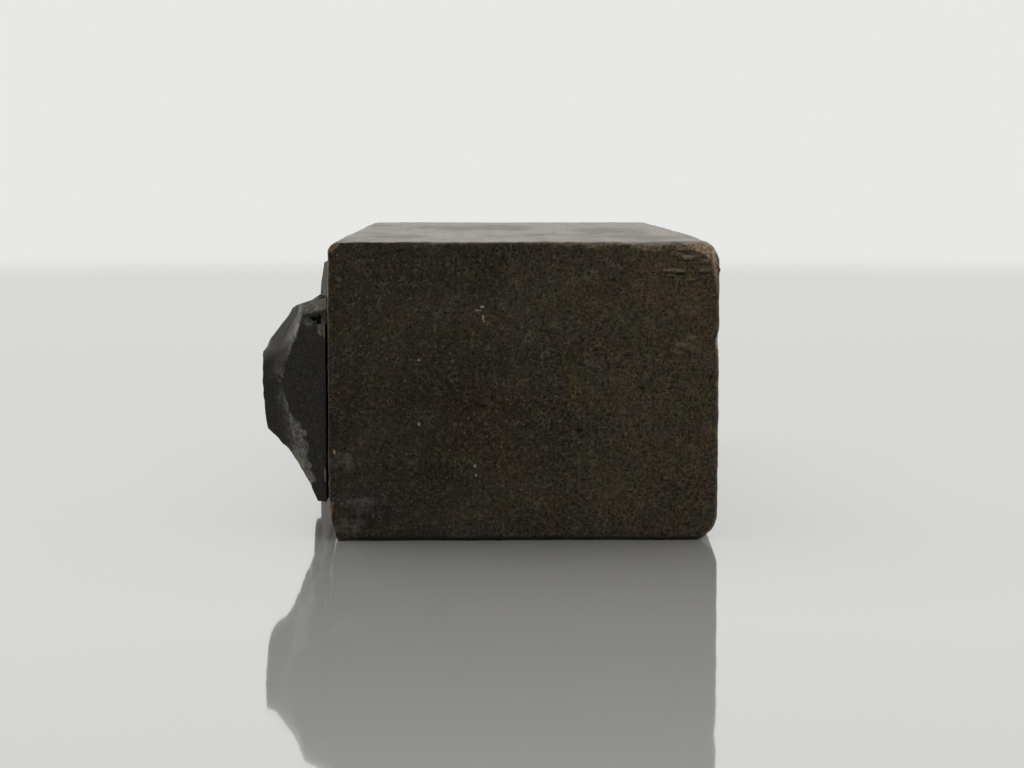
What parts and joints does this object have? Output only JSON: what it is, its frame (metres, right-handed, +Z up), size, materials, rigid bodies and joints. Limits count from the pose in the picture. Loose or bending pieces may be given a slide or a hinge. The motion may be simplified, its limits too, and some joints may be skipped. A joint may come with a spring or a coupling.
{
  "type": "letterpress printing block",
  "caption": "Small hardwood block with a bevelled cast type metal plate, raised printing figures on its outer face, nailed to one long side for hand stamping or letterpress printing.",
  "frame": {"origin": "centre of the bottom of the whole block's box, on the table", "axes": "+Y along the block's length, away from the end with the chiselled plate; -X out of the printing face; +Z up from the table"},
  "size_m": [0.0234, 0.045, 0.0154],
  "materials": {
    "stained_wood": "dark ink-stained end grain and sides, worn to bare brown wood at the corners",
    "type_metal": "dull dark grey cast lead alloy with lighter chiselled facets",
    "brad_steel": "aged brown steel"
  },
  "bodies": {
    "root": {"wood_block": "stained_wood", "printing_plate": "type_metal", "brad_1": "brad_steel", "brad_2": "brad_steel", "brad_3": "brad_steel", "brad_4": "brad_steel", "brad_5": "brad_steel", "brad_6": "brad_steel"}
  },
  "joints": []
}
